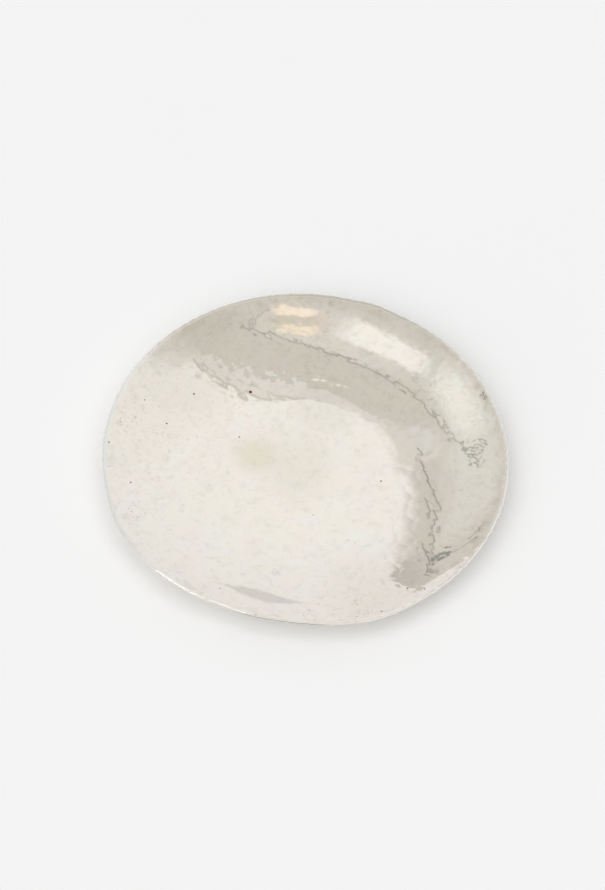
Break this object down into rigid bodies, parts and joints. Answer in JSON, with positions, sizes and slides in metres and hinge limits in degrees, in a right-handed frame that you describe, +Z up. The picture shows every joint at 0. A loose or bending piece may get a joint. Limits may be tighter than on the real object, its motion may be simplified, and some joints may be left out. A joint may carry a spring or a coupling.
{
  "type": "paten plate",
  "caption": "Shallow round hand-hammered silver paten with a flat well, a rising rim and a wired edge, for holding altar bread.",
  "frame": {"origin": "centre of the flat underside of the well, on the surface that the plate stands on", "axes": "+Z up, along the axis that the plate is round about; X and Y lie in the surface that it stands on"},
  "size_m": [0.15, 0.15, 0.0115],
  "materials": {
    "hammered_silver": "polished",
    "edge_silver": "polished",
    "hard_solder": "satin"
  },
  "bodies": {
    "root": {"dish": "hammered_silver", "edge_wire": "edge_silver", "solder_seam": "hard_solder"}
  },
  "joints": []
}
